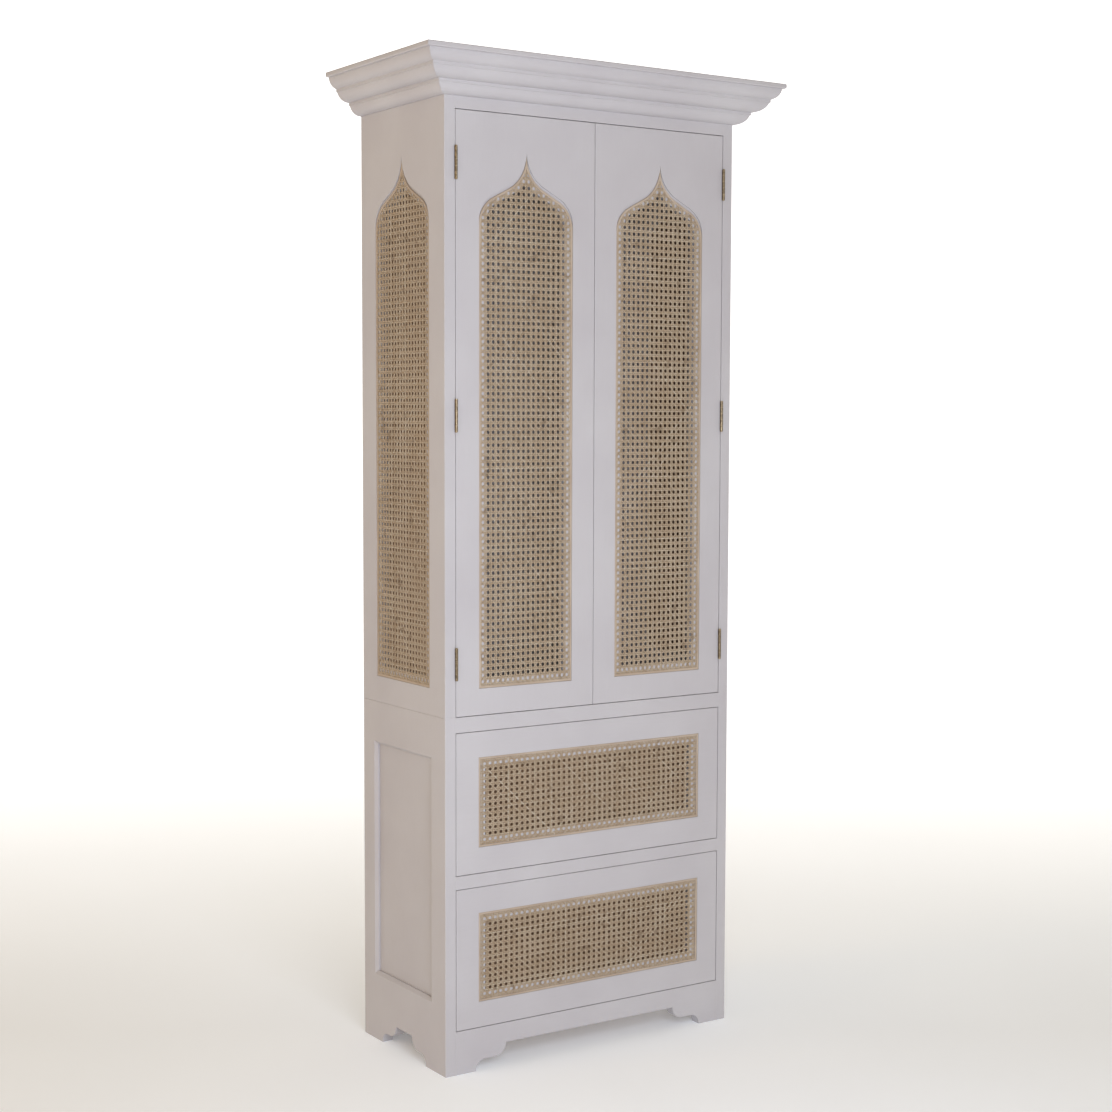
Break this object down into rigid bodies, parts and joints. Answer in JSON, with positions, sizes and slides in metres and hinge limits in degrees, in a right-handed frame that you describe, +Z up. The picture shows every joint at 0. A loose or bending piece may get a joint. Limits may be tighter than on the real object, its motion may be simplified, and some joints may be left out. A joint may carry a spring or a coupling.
{
  "type": "armoire",
  "caption": "Tall painted wardrobe with ogee-arched woven cane doors and sides over cane-fronted drawers, stepped cornice and bracket feet.",
  "frame": {"origin": "middle of the bounding box at floor level", "axes": "+Z up, front faces -Y, +X to the right seen from the front"},
  "size_m": [0.86, 0.42, 2],
  "materials": {
    "painted_wood": "satin paint, cool off-white, brushed on",
    "natural_wood": "oiled natural wood",
    "cane": "woven natural cane webbing, matt",
    "brass": "satin, slightly aged",
    "steel": "nickel-plated"
  },
  "bodies": {
    "case": {"base_side_frame_left": "painted_wood", "base_side_frame_right": "painted_wood", "base_side_panel_left": "painted_wood", "base_side_panel_right": "painted_wood", "base_top_rail": "painted_wood", "drawer_divider_rail": "painted_wood", "front_apron": "painted_wood", "rear_apron": "painted_wood", "upper_side_left": "painted_wood", "upper_side_right": "painted_wood", "upper_top_rail": "painted_wood", "upper_top_board": "painted_wood", "upper_floor_board": "painted_wood", "upper_back_panel": "painted_wood", "base_back_panel": "painted_wood", "cornice_front": "painted_wood", "cornice_left": "painted_wood", "cornice_right": "painted_wood", "cornice_cap": "painted_wood", "catch_block": "painted_wood", "side_lining_left": "natural_wood", "side_lining_right": "natural_wood", "base_top_board": "natural_wood", "base_floor_board": "natural_wood", "runner_upper_left": "natural_wood", "runner_upper_right": "natural_wood", "runners_lower": "natural_wood", "stacking_dowels": "natural_wood", "hanging_rail": "natural_wood", "side_cane_left": "cane", "side_cane_right": "cane", "case_hinge_leaves": "brass", "case_hinge_screws": "brass", "hinge_pins": "brass", "rail_sockets": "brass", "catch_magnets": "steel"},
    "door_left": {"door_panel_left": "painted_wood", "door_cane_left": "cane", "door_hinge_leaves_left": "brass", "door_hinge_screws_left": "brass", "strike_plate_left": "steel"},
    "door_right": {"door_panel_right": "painted_wood", "door_cane_right": "cane", "door_hinge_leaves_right": "brass", "door_hinge_screws_right": "brass", "strike_plate_right": "steel"},
    "drawer_upper": {"drawer_front_upper": "painted_wood", "drawer_cane_upper": "cane", "drawer_lining_upper": "natural_wood", "drawer_side_left_upper": "natural_wood", "drawer_side_right_upper": "natural_wood", "drawer_back_upper": "natural_wood", "drawer_bottom_upper": "natural_wood"},
    "drawer_lower": {"drawer_front_lower": "painted_wood", "drawer_cane_lower": "cane", "drawer_lining_lower": "natural_wood", "drawer_side_left_lower": "natural_wood", "drawer_side_right_lower": "natural_wood", "drawer_back_lower": "natural_wood", "drawer_bottom_lower": "natural_wood"}
  },
  "joints": [
    {"name": "door_left_hinge", "type": "hinge", "parent": "case", "child": "door_left", "pos_m": [-0.3254, -0.1332, 1.3065], "axis": [0, 0, -1], "range_deg": [0, 170]},
    {"name": "door_right_hinge", "type": "hinge", "parent": "case", "child": "door_right", "pos_m": [0.3254, -0.1332, 1.3065], "axis": [0, 0, 1], "range_deg": [0, 170]},
    {"name": "drawer_upper_slide", "type": "slide", "parent": "case", "child": "drawer_upper", "axis": [0, -1, 0], "range_m": [0, 0.24]},
    {"name": "drawer_lower_slide", "type": "slide", "parent": "case", "child": "drawer_lower", "axis": [0, -1, 0], "range_m": [0, 0.24]}
  ]
}
